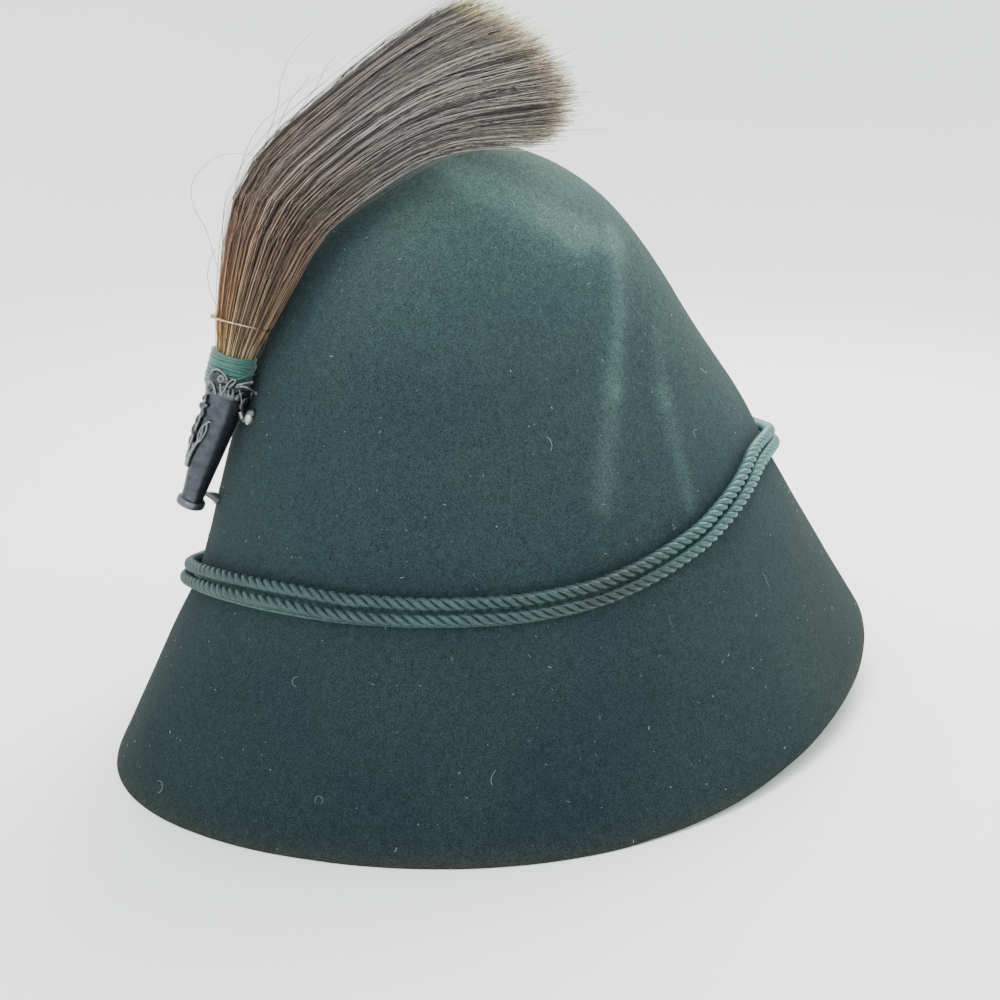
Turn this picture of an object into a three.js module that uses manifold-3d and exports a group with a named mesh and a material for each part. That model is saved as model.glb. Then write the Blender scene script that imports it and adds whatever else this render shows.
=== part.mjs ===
// A tyrolean hat: one soft felt bell with a turned-down brim, two twisted cords on a thin backing braid
// round the head, and a hair plume that stands in a cast pewter socket at the back of the left side.
// Millimetres. +X is the front of the hat, +Y is the wearer's left, +Z is up.

import * as THREE from 'three';
import { LoftGeometry } from 'three/addons/geometries/LoftGeometry.js';
import { ParametricGeometry } from 'three/addons/geometries/ParametricGeometry.js';
import { mergeVertices } from 'three/addons/utils/BufferGeometryUtils.js';
import Module from 'manifold-3d';

// Driving dimensions.
const HEAD_HALF_LENGTH = 103; // outside of the felt at the cords, front to back
const HEAD_HALF_WIDTH = 87; // outside of the felt at the cords, side to side
const CORD_LINE_HEIGHT = 75; // of the cords above the table, at the back and the back of the sides
const CORD_LINE_RISE = 42; // the cord line climbs this much from there to the front
const CORD_SAG = 25; // the cords sink this much below that line on the left side
const CORD_DIP = 17; // and this much in front
const CROWN_TOP = 214.5; // height of the top above the table
const BRIM_LIFT = 23; // the front of the brim's edge stands this far off the table
const BRIM_DROOP = 2.2; // the edge hangs this much lower on both sides of its front
const FELT_WALL = 2.4;
const CORD_RADIUS = 2.2;
const CORD_PINCH = 1.4; // the cords draw the felt in this much
const BACKING_THICK = 0.5; // the braid that both cords are sewn on
const BACKING_SHOWS = 0.9; // it shows this much below the lower cord
const GAP = 0.3; // between touching pieces

const SOCKET_AZIMUTH = 173; // degrees from the front to the left
const SOCKET_MOUTH_HEIGHT = 135; // of the middle of the mouth above the table
const SOCKET_STAND_OFF = 8.6; // of the middle of the mouth from the felt, level
const PLUME_HEADING = 28; // degrees that the plume leans to the right of straight ahead
const PLUME_LENGTH = 150; // of the hair, from the binding to the tips
const SOCKET_LENGTH = 42.5;
const SOCKET_TILT = 20.7; // degrees off upright, the foot away from the felt
const SOCKET_MOUTH_RADIUS = 7.2;
const SOCKET_FOOT_RADIUS = 3.7;
const SOCKET_COLLAR_RADIUS = 8.3; // the wreath's band round the mouth
const BINDING_TILT = 17; // degrees off upright
const BINDING_LENGTH = 12.6;
const BINDING_RADIUS = 8.1;
const HAIR_NECK_RADIUS = 6;
const KEEPER_WIRE_RADIUS = 0.6;
const KEEPER_TILT = 15; // degrees off level

// A table's rows, each as a record with named columns.
function table(columns, rows) {
  return rows.map((row) => Object.fromEntries(columns.map((name, i) => [name, row[i]])));
}

// Sections up the felt. zone 0 is the brim and zone 1 the crown. level is the share of the zone's height,
// front and back are reaches from the head's axis and middle is where the section is widest, as shares of
// HEAD_HALF_LENGTH. side is the half width as a share of HEAD_HALF_WIDTH. taper_front and taper_back draw
// the corners in towards a lens shape.
const SECTIONS = table(['zone', 'level', 'front', 'back', 'middle', 'side', 'taper_front', 'taper_back'], [
  [0,  0.0,  1.636, 1.375,  -0.02, 1.345, 0.19, 0.15],
  [0, 0.25,  1.466, 1.275, -0.015,  1.25, 0.13,  0.1],
  [0,  0.5,  1.303, 1.177,  -0.01,  1.16, 0.09, 0.06],
  [0, 0.75,  1.148, 1.085,    0.0, 1.078, 0.04, 0.03],
  [0,  1.0,    1.0,   1.0,    0.0,   1.0,  0.0,  0.0],
  [1,  0.3,  0.788, 0.888,  -0.04,  0.84,  0.0,  0.0],
  [1,  0.6,  0.588, 0.745,  -0.07, 0.675,  0.0,  0.0],
  [1, 0.82,  0.393, 0.524,  -0.07,  0.47,  0.0,  0.0],
  [1, 0.95,  0.165,  0.27,  -0.06, 0.225,  0.0,  0.0],
  [1,  1.0, -0.127, 0.127, -0.127,   0.0,  0.0,  0.0],
]);

// Soft pinches on both sides of the crown. ahead is from the middle of the head at the stated height, and
// lean is the step ahead for each step of height. wide and tall are half sizes, and depth goes into the
// felt, so that a ridge has a negative one. ahead and wide are shares of HEAD_HALF_LENGTH, height and tall
// of CROWN_TOP, and depth of HEAD_HALF_WIDTH.
const PINCHES = table(['name', 'ahead', 'height', 'lean', 'wide', 'tall', 'depth'], [
  ['rear ridge',   0.126, 0.615, 0.36, 0.058, 0.205, -0.015],
  ['groove',       0.262, 0.634,  0.2, 0.078, 0.158,   0.03],
  ['front ridge',  0.374,  0.55,  0.0, 0.049, 0.112, -0.014],
  ['side hollow', -0.078, 0.653,  0.3, 0.155, 0.186,  0.016],
]);

// Sections of the hair, in the plume's own plane, as shares of PLUME_LENGTH. ahead and up are the middle
// of the section from the socket's mouth, drift is across the plane to the left, half is the half width in
// the plane and deep the half width across it.
const HAIR = table(['ahead', 'up', 'drift', 'half', 'deep'], [
  [-0.028, -0.075,    0.0, 0.028, 0.028],
  [   0.0,    0.0,    0.0, 0.033, 0.033],
  [0.0255,  0.083,    0.0, 0.041,  0.04],
  [ 0.044,  0.138, -0.012, 0.053, 0.045],
  [ 0.083,  0.255, -0.024, 0.074, 0.056],
  [  0.14,   0.38,  -0.02, 0.091, 0.066],
  [  0.21,  0.465, -0.008, 0.101,  0.07],
  [  0.32,   0.55,  0.008, 0.105, 0.074],
  [ 0.435,  0.622,  0.024, 0.118, 0.078],
  [ 0.555,   0.67,  0.036, 0.143, 0.084],
  [  0.69,    0.7,  0.046,  0.17,  0.09],
]);

// Locks of the hair: where each runs in the section, as shares of half and deep, its thickness as a share
// of half, and how far it reaches up the hair.
const LOCKS = table(['across', 'through', 'thick', 'reach'], [
  [  0.0,   0.0, 0.62, 0.95],
  [-0.74,   0.1,  0.3, 0.94],
  [-0.48, -0.55, 0.34, 0.98],
  [ -0.4,   0.5, 0.36, 0.95],
  [-0.02,  -0.6, 0.36,  1.0],
  [ 0.12,  0.55, 0.38, 0.97],
  [ 0.42,  -0.5, 0.34, 0.99],
  [  0.5,   0.4, 0.36, 0.96],
  [ 0.76, -0.05, 0.28, 0.95],
]);

// Cast relief on the socket. turn is the angle round its axis in degrees, with 0 ahead and -90 to the right
// of the plume's plane. up is along the axis from the mouth, as a share of SOCKET_LENGTH. out is the
// distance from the axis, and long, wide and thick are full sizes, as shares of SOCKET_COLLAR_RADIUS. roll
// turns the long side from round the socket to up it, in degrees.
const RELIEF = table(['name', 'turn', 'up', 'out', 'long', 'wide', 'thick', 'roll'], [
  ['oak leaf',  -152, -0.01, 1.05, 0.77, 0.43, 0.31,  25],
  ['oak leaf',  -112, -0.03, 1.05, 0.67, 0.39, 0.29, -30],
  ['scroll',     -78,  0.02, 1.06, 0.63, 0.24, 0.27,  35],
  ['oak leaf',   -44, -0.06, 1.06, 0.60, 0.48, 0.31,  75],
  ['oak leaf',    -5, -0.01, 1.05, 0.67, 0.41, 0.29, -20],
  ['oak leaf',    36, -0.01, 1.06, 0.67, 0.41, 0.36,  15],
  ['oak leaf',    84, -0.02, 1.05, 0.70, 0.41, 0.29, -15],
  ['oak leaf',   132, -0.01, 1.05, 0.70, 0.41, 0.29,  20],
  ['oak leaf',   176, -0.01, 1.05, 0.67, 0.39, 0.29, -15],
  ['berry',      -56,  0.14, 1.19, 0.31, 0.31, 0.31,   0],
  ['berry',      -36,  0.08, 1.28, 0.31, 0.31, 0.31,   0],
  ['acorn cup',  -36, -0.11, 1.49, 0.53, 0.53, 0.41,   0],
  ['acorn',      -35, -0.17, 1.64, 0.43, 0.60, 0.41,   0],
  ['bud',       -169, -0.17, 0.84, 0.43, 0.29, 0.31,  80],
  ['bud',       -164, -0.28, 0.80, 0.39, 0.27, 0.29, 100],
  ['leaf',      -160, -0.38, 0.72, 0.60, 0.29, 0.24,  80],
  ['bell',      -124, -0.42, 0.68, 0.53, 0.31, 0.24,  40],
  ['catch',       14, -0.90, 0.47, 0.29, 0.36, 0.31,   0],
]);
// Twigs between two such places, with their radii as shares of SOCKET_COLLAR_RADIUS. The last one is the
// prong that reaches to the felt, which trims it.
const TWIGS = table(['turn', 'up', 'out', 'to_turn', 'to_up', 'to_out', 'radius', 'to_radius'], [
  [ -60, -0.01, 1.00,  -56,  0.13, 1.18, 0.07, 0.07],
  [ -46, -0.02, 1.00,  -37,  0.08, 1.25, 0.07, 0.07],
  [ -46, -0.07, 0.84,  -37, -0.10, 1.45, 0.10, 0.10],
  [-150, -0.40, 0.70, -126, -0.42, 0.68, 0.07, 0.07],
  [-160, -0.37, 0.73, -172, -0.63, 0.61, 0.08, 0.07],
  [-172, -0.63, 0.61, -178, -0.86, 0.53, 0.07, 0.06],
  [  28, -0.96, 0.36,   28, -0.91, 2.41, 0.11, 0.33],
]);

// Smooth curve through values given at rising places, with slopes from their neighbours.
function smoothTable(places, values) {
  const slopes = values.map((value, i) => {
    const before = Math.max(i - 1, 0);
    const after = Math.min(i + 1, values.length - 1);
    return (values[after] - values[before]) / (places[after] - places[before]);
  });
  return (place) => {
    let i = 0;
    while (i < places.length - 2 && place > places[i + 1]) i += 1;
    const span = places[i + 1] - places[i];
    const t = (place - places[i]) / span;
    const h00 = (1 + 2 * t) * (1 - t) ** 2;
    const h10 = t * (1 - t) ** 2;
    const h01 = t * t * (3 - 2 * t);
    const h11 = t * t * (t - 1);
    const heights = h00 * values[i] + h01 * values[i + 1];
    return heights + span * (h10 * slopes[i] + h11 * slopes[i + 1]);
  };
}

// A place along the profile: 0 is the edge, 1 the cord line, 2 the top. It closes up towards the top like
// the polar angle of a dome, so that the crown ends round.
const placeOf = (row) => (row.zone === 0 ? row.level : 2 - Math.sqrt(1 - row.level));
const levelAt = (place) => (place <= 1 ? place : 1 - (2 - place) ** 2);
const places = SECTIONS.map(placeOf);
const column = (name) => smoothTable(places, SECTIONS.map((row) => row[name]));
const frontAt = column('front');
const backAt = column('back');
const middleAt = column('middle');
const sideAt = column('side');
const taperFrontAt = column('taper_front');
const taperBackAt = column('taper_back');

// Heights of the brim's edge and of the head line, both climbing towards the front.
function edgeHeight(azimuth) {
  const lift = Math.max(0, (Math.cos(azimuth) + 0.1) / 1.1) ** 2;
  const droop = Math.exp(-(((Math.cos(azimuth) - 0.8) / 0.13) ** 2));
  return BRIM_LIFT * lift - BRIM_DROOP * droop;
}
const cordClimb = (azimuth) => Math.max(0, (Math.cos(azimuth) + 0.35) / 1.35) ** 2;
const cordHeight = (azimuth) => CORD_LINE_HEIGHT + CORD_LINE_RISE * cordClimb(azimuth);

// Where the cords lie along the profile: on the head line at the back and the right, but below it in front
// and on the left side.
const SAG_AZIMUTH = THREE.MathUtils.degToRad(122);
const SAG_SPREAD = THREE.MathUtils.degToRad(47);
function cordPlace(azimuth) {
  const round = THREE.MathUtils.euclideanModulo(azimuth, 2 * Math.PI);
  const sag = Math.exp(-(((round - SAG_AZIMUTH) / SAG_SPREAD) ** 2));
  const dip = Math.max(0, (Math.cos(azimuth) - 0.6) / 0.4) ** 3;
  return 1 - (CORD_SAG * sag + CORD_DIP * dip) / CORD_LINE_HEIGHT;
}

// How far the pinches and the cords draw the felt in at a point of it.
function drawnIn(point, azimuth) {
  let depth = 0;
  for (const pinch of PINCHES) {
    const above = point.z - pinch.height * CROWN_TOP;
    const along = above / (pinch.tall * CROWN_TOP);
    const beside = point.x - pinch.ahead * HEAD_HALF_LENGTH - pinch.lean * above;
    const across = beside / (pinch.wide * HEAD_HALF_LENGTH);
    depth += pinch.depth * HEAD_HALF_WIDTH * Math.exp(-(along * along) - across * across);
  }
  const cordAt = edgeHeight(azimuth) + (cordHeight(azimuth) - edgeHeight(azimuth)) * cordPlace(azimuth);
  return depth + CORD_PINCH * Math.exp(-(((point.z - cordAt) / 9) ** 2));
}

// The outside of the felt at an azimuth from the front and a place along the profile.
function outside(azimuth, place) {
  const c = Math.cos(azimuth);
  const s = Math.sin(azimuth);
  const middle = middleAt(place);
  const reach = c > 0 ? frontAt(place) - middle : backAt(place) + middle;
  const taper = c > 0 ? taperFrontAt(place) : taperBackAt(place);
  const x = (middle + reach * c) * HEAD_HALF_LENGTH;
  const y = sideAt(place) * HEAD_HALF_WIDTH * s * (1 - taper * c * c);
  const level = levelAt(place);
  const foot = place <= 1 ? edgeHeight(azimuth) : cordHeight(azimuth);
  const head = place <= 1 ? cordHeight(azimuth) : CROWN_TOP;
  const point = new THREE.Vector3(x, y, foot + (head - foot) * level);
  const inward = new THREE.Vector3(-c / HEAD_HALF_LENGTH, -s / HEAD_HALF_WIDTH, 0).normalize();
  return point.addScaledVector(inward, drawnIn(point, azimuth) * Math.min(1, 4 * (2 - place)));
}

// Directions on the felt: up its profile and out of it, from close neighbours.
function directionsAt(azimuth, place) {
  const low = Math.max(place - 0.01, 0);
  const high = Math.min(place + 0.01, 1.995);
  const level = Math.min(place, 1.99);
  const round = outside(azimuth + 0.01, level).sub(outside(azimuth - 0.01, level));
  const up = outside(azimuth, high).sub(outside(azimuth, low)).normalize();
  const out = round.cross(up).normalize();
  return { up, out };
}

// The felt's surface moved along its own outward direction. The cut edge and the top keep their heights.
function offset(azimuth, place, distance) {
  const { out } = directionsAt(azimuth, place);
  if (place <= 0) out.setZ(0).normalize();
  if (place >= 1.999) out.set(0, 0, 1);
  return outside(azimuth, place).addScaledVector(out, distance);
}

// The place at this height beside the crown that is level with the felt and this far off it.
function besideFelt(azimuth, height, distance) {
  let low = 1;
  let high = 2;
  for (let step = 0; step < 40; step += 1) {
    const place = (low + high) / 2;
    if (outside(azimuth, place).z < height) low = place;
    else high = place;
  }
  const point = outside(azimuth, low);
  const away = new THREE.Vector3(point.x, point.y, 0).normalize();
  return point.addScaledVector(away, distance);
}

// Rows of faces up the outside and up the inside. They are closer together at row 1, at the cords.
const AROUND = 70;
const BRIM_ROWS = [0, 0.2, 0.4, 0.6, 0.78, 0.88, 0.94];
const CROWN_ROWS = [1, 1.02, 1.05, 1.1, 1.17, 1.25, 1.34, 1.43, 1.52, 1.61, 1.7, 1.79, 1.89, 2];
const OUTSIDE_ROWS = [...BRIM_ROWS, ...CROWN_ROWS];
const INSIDE_ROWS = [0, 0.35, 0.7, 0.92, 1.03, 1.16, 1.32, 1.48, 1.65, 1.83, 2];

function rowPlace(row, azimuth) {
  const cords = cordPlace(azimuth);
  return row <= 1 ? row * cords : cords + (row - 1) * (2 - cords);
}

// A surface of revolution-like rows: each row gives the point at an azimuth.
function rowsOfFaces(rows) {
  return new ParametricGeometry((u, v, target) => {
    target.copy(rows[Math.round(v * (rows.length - 1))](-u * 2 * Math.PI));
  }, AROUND, rows.length - 1);
}

// The felt is one wall: down the outside from the top, across the cut edge, and up the inside to the top.
const felt = rowsOfFaces([
  ...OUTSIDE_ROWS.toReversed().map((row) => (azimuth) => outside(azimuth, rowPlace(row, azimuth))),
  ...INSIDE_ROWS.map((row) => (azimuth) => offset(azimuth, rowPlace(row, azimuth), -FELT_WALL)),
]);

// The room that the felt takes, with the gap round it: what sits against the felt is trimmed by this.
const feltRoom = rowsOfFaces([
  ...OUTSIDE_ROWS.toReversed().map((row) => (azimuth) => offset(azimuth, rowPlace(row, azimuth), 1.3 * GAP)),
  () => new THREE.Vector3(0, 0, 0),
]);

// A path round the head: this far up the felt from the cords' middle, and this far off the felt.
function pathRound(up, off) {
  const points = [];
  for (let i = 0; i < AROUND; i += 1) {
    const azimuth = (i / AROUND) * 2 * Math.PI;
    let place = cordPlace(azimuth);
    const { out } = directionsAt(azimuth, place);
    const point = outside(azimuth, place);
    for (let step = 0; step < 8; step += 1) {
      const speed = point.distanceTo(outside(azimuth, place + 0.002 * Math.sign(up))) / 0.002;
      place += up / 8 / speed;
      point.copy(outside(azimuth, place));
    }
    points.push(point.addScaledVector(out, off));
  }
  return points;
}

// Two cords side by side on a flat braid, which shows below the lower one.
const cordUp = CORD_RADIUS + 1.1 * GAP;
const cordOff = GAP + BACKING_THICK + 1.5 * GAP + CORD_RADIUS;
function cord(up) {
  const path = new THREE.CatmullRomCurve3(pathRound(up, cordOff), true);
  return new THREE.TubeGeometry(path, AROUND, CORD_RADIUS, 8, true);
}
const backingFoot = -2 * CORD_RADIUS - BACKING_SHOWS;
const backingCorners = [
  pathRound(backingFoot, GAP),
  pathRound(backingFoot, GAP + BACKING_THICK),
  pathRound(CORD_RADIUS, GAP + BACKING_THICK),
  pathRound(CORD_RADIUS, GAP),
];
const backing = rowsOfFaces([3, 2, 1, 0, 3].map((corner) => (azimuth) => {
  const turn = THREE.MathUtils.euclideanModulo(azimuth / (2 * Math.PI), 1);
  return backingCorners[corner][Math.round(turn * AROUND) % AROUND];
}));

// Solids that are joined or cut.
const wasm = await Module();
wasm.setup();
function solid(geometry) {
  const bare = new THREE.BufferGeometry().copy(geometry);
  bare.deleteAttribute('normal');
  bare.deleteAttribute('uv');
  const merged = mergeVertices(bare, 1e-4);
  const mesh = new wasm.Mesh({
    numProp: 3,
    vertProperties: merged.attributes.position.array,
    triVerts: Uint32Array.from(merged.index.array),
  });
  return new wasm.Manifold(mesh);
}
function geometryOf(body) {
  const mesh = body.getMesh();
  const geometry = new THREE.BufferGeometry();
  geometry.setAttribute('position', new THREE.BufferAttribute(mesh.vertProperties, 3));
  geometry.setIndex(new THREE.BufferAttribute(mesh.triVerts, 1));
  return geometry;
}
const fuse = (geometries) => geometries.map(solid).reduce((all, next) => all.add(next));
const room = solid(feltRoom);

// Frames of the plume. Its plane is upright and turned by the heading: +X ahead, +Y away to the left.
const degrees = THREE.MathUtils.degToRad;
const plumeFrame = new THREE.Matrix4().makeRotationZ(-degrees(PLUME_HEADING));
plumeFrame.setPosition(besideFelt(degrees(SOCKET_AZIMUTH), SOCKET_MOUTH_HEIGHT, SOCKET_STAND_OFF));
const tilted = (angle) => plumeFrame.clone().multiply(new THREE.Matrix4().makeRotationY(degrees(angle)));
const socketFrame = tilted(SOCKET_TILT);
const bindingFrame = tilted(BINDING_TILT);

// The hair: locks that run up one bundle side by side, joined into one body.
function hairTable(name) {
  const steps = HAIR.map((row, i) => i / (HAIR.length - 1));
  return smoothTable(steps, HAIR.map((row) => row[name] * PLUME_LENGTH));
}
const hairAhead = hairTable('ahead');
const hairUp = hairTable('up');
const hairDrift = hairTable('drift');
const hairHalf = hairTable('half');
const hairDeep = hairTable('deep');
const LOCK_SIDES = 7;
const LOCK_STEPS = 9;
function lock(row) {
  const sections = [];
  for (let i = 0; i <= LOCK_STEPS; i += 1) {
    const step = (i / LOCK_STEPS) * row.reach;
    const before = Math.max(step - 0.02, 0);
    const after = Math.min(step + 0.02, 1);
    const rise = hairUp(after) - hairUp(before);
    const along = new THREE.Vector3(hairAhead(after) - hairAhead(before), 0, rise).normalize();
    const across = new THREE.Vector3(along.z, 0, -along.x);
    const half = hairHalf(step);
    const deep = hairDeep(step);
    const tip = i === LOCK_STEPS ? 0.6 : 1;
    const wide = row.thick * half * tip;
    const thick = Math.min(row.thick * half, (row.thick + 0.12) * deep) * tip;
    const middle = new THREE.Vector3(hairAhead(step), hairDrift(step) + row.through * deep, hairUp(step));
    middle.addScaledVector(across, row.across * half);
    const ring = [];
    for (let k = 0; k < LOCK_SIDES; k += 1) {
      const turn = (k / LOCK_SIDES) * 2 * Math.PI;
      const point = middle.clone().addScaledVector(across, wide * Math.cos(turn));
      point.y += thick * Math.sin(turn);
      ring.push(point);
    }
    sections.push(ring);
  }
  return new LoftGeometry(sections, { closed: true, capStart: true, capEnd: true });
}
const hair = fuse(LOCKS.map((row) => lock(row).applyMatrix4(plumeFrame))).subtract(room);

// The thread binding: a ring of wound turns round the neck of the hair.
const BINDING_TURNS = 6;
const bindingProfile = [new THREE.Vector2(HAIR_NECK_RADIUS + 3 * GAP, 2 * GAP)];
for (let i = 0; i < BINDING_TURNS; i += 1) {
  const turn = (BINDING_LENGTH - 2 * GAP) / BINDING_TURNS;
  bindingProfile.push(new THREE.Vector2(BINDING_RADIUS - 0.4, 2 * GAP + turn * (i + 0.02)));
  bindingProfile.push(new THREE.Vector2(BINDING_RADIUS, 2 * GAP + turn * (i + 0.5)));
}
bindingProfile.push(new THREE.Vector2(BINDING_RADIUS - 0.4, BINDING_LENGTH));
bindingProfile.push(new THREE.Vector2(HAIR_NECK_RADIUS + 3 * GAP, BINDING_LENGTH));
bindingProfile.push(bindingProfile[0].clone());
const binding = solid(upright(bindingProfile, 12).applyMatrix4(bindingFrame)).subtract(room);
const bindingRoom = solid(upright([
  new THREE.Vector2(0, GAP),
  new THREE.Vector2(BINDING_RADIUS + GAP, GAP),
  new THREE.Vector2(BINDING_RADIUS + GAP, BINDING_LENGTH + GAP),
  new THREE.Vector2(0, BINDING_LENGTH + GAP),
], 16).applyMatrix4(bindingFrame));

// A lathe turned from Y up to Z up.
function upright(profile, sides) {
  return new THREE.LatheGeometry(profile, sides).rotateX(Math.PI / 2);
}

// The keeper: a wire ring that holds the hair together above the binding.
const keeperStep = 3 / (HAIR.length - 1);
const keeperFrame = tilted(KEEPER_TILT);
const keeperOut = KEEPER_WIRE_RADIUS + GAP;
const keeperReach = [hairHalf(keeperStep) * 1.06 + keeperOut, hairDeep(keeperStep) * 1.06 + keeperOut];
const keeperMiddle = new THREE.Vector3(hairAhead(keeperStep), hairDrift(keeperStep), hairUp(keeperStep));
keeperFrame.setPosition(keeperMiddle.clone().applyMatrix4(plumeFrame));
class Oval extends THREE.Curve {
  getPoint(t, target = new THREE.Vector3()) {
    const turn = 2 * Math.PI * t;
    return target.set(keeperReach[0] * Math.cos(turn), keeperReach[1] * Math.sin(turn), 0);
  }
}
const keeperWire = new THREE.TubeGeometry(new Oval(), 24, KEEPER_WIRE_RADIUS, 6, true);
const keeper = solid(keeperWire.applyMatrix4(keeperFrame)).subtract(room);

// The socket: a tapered cup with a round foot, a wreath of cast leaves, twigs and an acorn, all one metal.
const socketProfile = [
  [0, -SOCKET_LENGTH - 2.6],
  [SOCKET_FOOT_RADIUS + 1, -SOCKET_LENGTH - 2.6],
  [SOCKET_FOOT_RADIUS + 1.2, -SOCKET_LENGTH - 1.3],
  [SOCKET_FOOT_RADIUS + 1, -SOCKET_LENGTH],
  [SOCKET_FOOT_RADIUS, -SOCKET_LENGTH + 0.1],
  [SOCKET_FOOT_RADIUS + 1.0, -0.7 * SOCKET_LENGTH],
  [SOCKET_MOUTH_RADIUS - 1.3, -0.4 * SOCKET_LENGTH],
  [SOCKET_MOUTH_RADIUS - 0.3, -0.13 * SOCKET_LENGTH],
  [SOCKET_COLLAR_RADIUS, -0.07 * SOCKET_LENGTH],
  [SOCKET_COLLAR_RADIUS, 0],
  [SOCKET_MOUTH_RADIUS - 1.3, 0],
  [SOCKET_MOUTH_RADIUS - 2.1, -13.5],
  [0, -14.5],
].map(([radius, up]) => new THREE.Vector2(radius, up));
function onSocket(turn, up, out) {
  const reach = out * SOCKET_COLLAR_RADIUS;
  const level = up * SOCKET_LENGTH;
  return new THREE.Vector3(reach * Math.cos(degrees(turn)), reach * Math.sin(degrees(turn)), level);
}
function reliefOf(row) {
  const shape = new THREE.SphereGeometry(0.5, 6, 4);
  shape.scale(row.thick, row.long, row.wide);
  shape.scale(SOCKET_COLLAR_RADIUS, SOCKET_COLLAR_RADIUS, SOCKET_COLLAR_RADIUS);
  shape.rotateX(degrees(row.roll));
  shape.rotateZ(degrees(row.turn));
  const place = onSocket(row.turn, row.up, row.out);
  return shape.translate(place.x, place.y, place.z);
}
const CYLINDER_AXIS = new THREE.Vector3(0, 1, 0);
function twigOf(row) {
  const start = onSocket(row.turn, row.up, row.out);
  const end = onSocket(row.to_turn, row.to_up, row.to_out);
  const along = end.clone().sub(start);
  const radii = [row.to_radius * SOCKET_COLLAR_RADIUS, row.radius * SOCKET_COLLAR_RADIUS];
  const shape = new THREE.CylinderGeometry(...radii, along.length(), 6);
  const lean = new THREE.Quaternion().setFromUnitVectors(CYLINDER_AXIS, along.normalize());
  shape.applyQuaternion(lean);
  const middle = start.add(end).multiplyScalar(0.5);
  return shape.translate(middle.x, middle.y, middle.z);
}
const cast = [upright(socketProfile, 16), ...RELIEF.map(reliefOf), ...TWIGS.map(twigOf)];
const socketWhole = fuse(cast.map((shape) => shape.applyMatrix4(socketFrame)));
const socket = socketWhole.subtract(room).subtract(bindingRoom);

function piece(name, geometry, color, roughness, metalness) {
  const material = new THREE.MeshStandardMaterial({ color, roughness, metalness });
  const mesh = new THREE.Mesh(geometry, material);
  mesh.name = name;
  return mesh;
}

const hat = new THREE.Group();
hat.add(piece('felt_body', felt, 0x24402f, 0.95, 0));
hat.add(piece('cord_upper', cord(cordUp), 0x1f5a48, 0.8, 0));
hat.add(piece('cord_lower', cord(-cordUp), 0x1f5a48, 0.8, 0));
hat.add(piece('cord_backing', backing, 0x2a6152, 0.85, 0));
hat.add(piece('hair_plume', geometryOf(hair), 0x5a4a3a, 0.7, 0));
hat.add(piece('thread_binding', geometryOf(binding), 0x1f6a50, 0.7, 0));
hat.add(piece('keeper_ring', geometryOf(keeper), 0xb08a70, 0.35, 0.9));
hat.add(piece('plume_socket', geometryOf(socket), 0x4a4a50, 0.45, 0.85));

// The part's origin is the middle of the foot of its bounding box.
const box = new THREE.Box3().setFromObject(hat, true);
hat.position.set(-(box.min.x + box.max.x) / 2, -(box.min.y + box.max.y) / 2, -box.min.z);
const group = new THREE.Group();
group.add(hat);
export default group;
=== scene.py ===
"""A tyrolean hat of dark green felt, with twisted cords round the head and a hair plume in a cast socket."""

import math
import random

import bpy
import numpy as np
from mathutils import Matrix, Vector


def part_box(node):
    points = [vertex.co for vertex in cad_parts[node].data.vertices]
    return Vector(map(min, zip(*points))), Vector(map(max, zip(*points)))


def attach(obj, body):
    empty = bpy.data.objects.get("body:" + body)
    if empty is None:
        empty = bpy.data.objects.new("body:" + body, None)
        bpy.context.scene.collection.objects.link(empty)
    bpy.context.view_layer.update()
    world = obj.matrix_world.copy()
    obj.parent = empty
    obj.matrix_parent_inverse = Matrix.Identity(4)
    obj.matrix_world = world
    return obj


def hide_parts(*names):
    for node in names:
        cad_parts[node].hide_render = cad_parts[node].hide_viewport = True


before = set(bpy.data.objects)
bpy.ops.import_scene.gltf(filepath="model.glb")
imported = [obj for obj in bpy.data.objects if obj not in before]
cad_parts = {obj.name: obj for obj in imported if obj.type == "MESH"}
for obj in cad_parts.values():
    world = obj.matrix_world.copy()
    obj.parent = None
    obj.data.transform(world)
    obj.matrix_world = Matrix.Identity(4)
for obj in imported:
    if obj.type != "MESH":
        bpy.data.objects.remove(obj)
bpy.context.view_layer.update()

MM = 0.001

# The middle of the head.
HEAD_AXIS = Vector((-13.44, 0, 0)) * MM
# The plume's own frame: it starts at the mouth of the socket, and its upright plane heads to the right of the
# front.
SOCKET_MOUTH = Vector((-107.54, 9.05, 135)) * MM
PLUME_HEADING = math.radians(28)
PLUME = Matrix.Translation(SOCKET_MOUTH) @ Matrix.Rotation(-PLUME_HEADING, 4, "Z")
PLUME_LENGTH = 150 * MM


# Handling of pieces.

def linked(name, mesh):
    """A new piece with this mesh."""
    piece = bpy.data.objects.new(name, mesh)
    bpy.context.collection.objects.link(piece)
    return piece


def pick(*pieces):
    """Selects these pieces alone, with the last one active."""
    bpy.ops.object.select_all(action="DESELECT")
    for piece in pieces:
        piece.select_set(True)
    bpy.context.view_layer.objects.active = pieces[-1]


def named(name):
    """The piece just added, under its own name."""
    piece = bpy.context.active_object
    piece.name = name
    return piece


def in_place(piece, frame_of_piece=None):
    """Puts the piece's place into its mesh, after moving it by the frame it was made in."""
    pick(piece)
    if frame_of_piece is not None:
        piece.matrix_world = frame_of_piece @ piece.matrix_world
    bpy.ops.object.transform_apply(location=True, rotation=True, scale=True)


def apply_modifiers(piece):
    """Applies all modifiers of the piece from the first to the last."""
    pick(piece)
    for modifier in list(piece.modifiers):
        bpy.ops.object.modifier_apply(modifier=modifier.name)


def finer(piece, levels):
    """Rounds the piece with a subdivision surface."""
    surface = piece.modifiers.new("finer", "SUBSURF")
    surface.levels = levels
    surface.render_levels = levels
    apply_modifiers(piece)
    bpy.ops.object.shade_smooth()


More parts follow.
